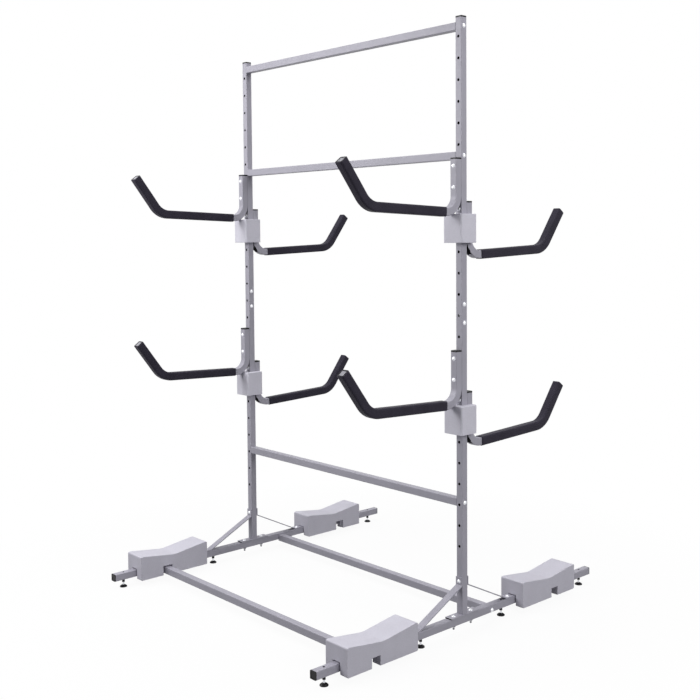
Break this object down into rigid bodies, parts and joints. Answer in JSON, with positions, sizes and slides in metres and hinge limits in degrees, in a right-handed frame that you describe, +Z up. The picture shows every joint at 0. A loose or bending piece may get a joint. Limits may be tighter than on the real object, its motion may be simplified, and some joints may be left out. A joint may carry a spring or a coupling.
{
  "type": "freestanding kayak rack",
  "caption": "Freestanding kayak rack: perforated square-tube posts on a low braced base, padded hook arms front and back, and grooved foam saddles on the rails.",
  "frame": {"origin": "on the floor, in the middle of the footprint", "axes": "+Z up along the posts; +X from the left post to the right post, as seen from the front; -Y is the front, the side with the higher arms"},
  "size_m": [1.447, 1.558, 2.326],
  "materials": {
    "powder_grey": "satin silver-grey powder coat",
    "foam_grey": "light grey closed-cell foam",
    "foam_black": "matte black foam sleeve",
    "plastic_black": "black moulded plastic",
    "plastic_grey": "light grey moulded plastic",
    "zinc": "bright zinc plating"
  },
  "bodies": {
    "frame": {"rail_left": "powder_grey", "rail_right": "powder_grey", "rail_plugs": "plastic_black", "tie_front": "powder_grey", "tie_back": "powder_grey", "post_lower_left": "powder_grey", "post_lower_right": "powder_grey", "post_upper_left": "powder_grey", "post_upper_right": "powder_grey", "joint_sleeves": "zinc", "post_caps": "plastic_black", "crossbar_top": "powder_grey", "crossbar_middle": "powder_grey", "crossbar_bottom": "powder_grey", "bar_plugs": "plastic_black", "brace_front_left": "powder_grey", "brace_front_right": "powder_grey", "brace_back_left": "powder_grey", "brace_back_right": "powder_grey", "arm_upper_front_left": "powder_grey", "arm_upper_front_right": "powder_grey", "arm_upper_back_left": "powder_grey", "arm_upper_back_right": "powder_grey", "arm_lower_front_left": "powder_grey", "arm_lower_front_right": "powder_grey", "arm_lower_back_left": "powder_grey", "arm_lower_back_right": "powder_grey", "foam_upper_front_left": "foam_black", "foam_upper_front_right": "foam_black", "foam_upper_back_left": "foam_black", "foam_upper_back_right": "foam_black", "foam_lower_front_left": "foam_black", "foam_lower_front_right": "foam_black", "foam_lower_back_left": "foam_black", "foam_lower_back_right": "foam_black", "arm_caps": "plastic_black", "tip_plugs": "plastic_grey", "post_pad_upper_left": "foam_grey", "post_pad_upper_right": "foam_grey", "post_pad_lower_left": "foam_grey", "post_pad_lower_right": "foam_grey", "saddle_front_left": "foam_grey", "saddle_front_right": "foam_grey", "saddle_back_left": "foam_grey", "saddle_back_right": "foam_grey", "frame_bolts": "zinc", "base_bolts": "zinc", "arm_bolts": "zinc", "threaded_inserts": "zinc", "hex_nuts": "zinc", "foot_bushings": "plastic_black"},
    "leveller_left_front": {"foot_left_front": "plastic_black"},
    "leveller_left_inner_front": {"foot_left_inner_front": "plastic_black"},
    "leveller_left_inner_back": {"foot_left_inner_back": "plastic_black"},
    "leveller_left_back": {"foot_left_back": "plastic_black"},
    "leveller_right_front": {"foot_right_front": "plastic_black"},
    "leveller_right_inner_front": {"foot_right_inner_front": "plastic_black"},
    "leveller_right_inner_back": {"foot_right_inner_back": "plastic_black"},
    "leveller_right_back": {"foot_right_back": "plastic_black"}
  },
  "joints": [
    {"name": "leveller_left_front_screw", "type": "slide", "parent": "frame", "child": "leveller_left_front", "axis": [0, 0, 1], "range_m": [-0.012, 0.008]},
    {"name": "leveller_left_inner_front_screw", "type": "slide", "parent": "frame", "child": "leveller_left_inner_front", "axis": [0, 0, 1], "range_m": [-0.012, 0.008]},
    {"name": "leveller_left_inner_back_screw", "type": "slide", "parent": "frame", "child": "leveller_left_inner_back", "axis": [0, 0, 1], "range_m": [-0.012, 0.008]},
    {"name": "leveller_left_back_screw", "type": "slide", "parent": "frame", "child": "leveller_left_back", "axis": [0, 0, 1], "range_m": [-0.012, 0.008]},
    {"name": "leveller_right_front_screw", "type": "slide", "parent": "frame", "child": "leveller_right_front", "axis": [0, 0, 1], "range_m": [-0.012, 0.008]},
    {"name": "leveller_right_inner_front_screw", "type": "slide", "parent": "frame", "child": "leveller_right_inner_front", "axis": [0, 0, 1], "range_m": [-0.012, 0.008]},
    {"name": "leveller_right_inner_back_screw", "type": "slide", "parent": "frame", "child": "leveller_right_inner_back", "axis": [0, 0, 1], "range_m": [-0.012, 0.008]},
    {"name": "leveller_right_back_screw", "type": "slide", "parent": "frame", "child": "leveller_right_back", "axis": [0, 0, 1], "range_m": [-0.012, 0.008]}
  ]
}
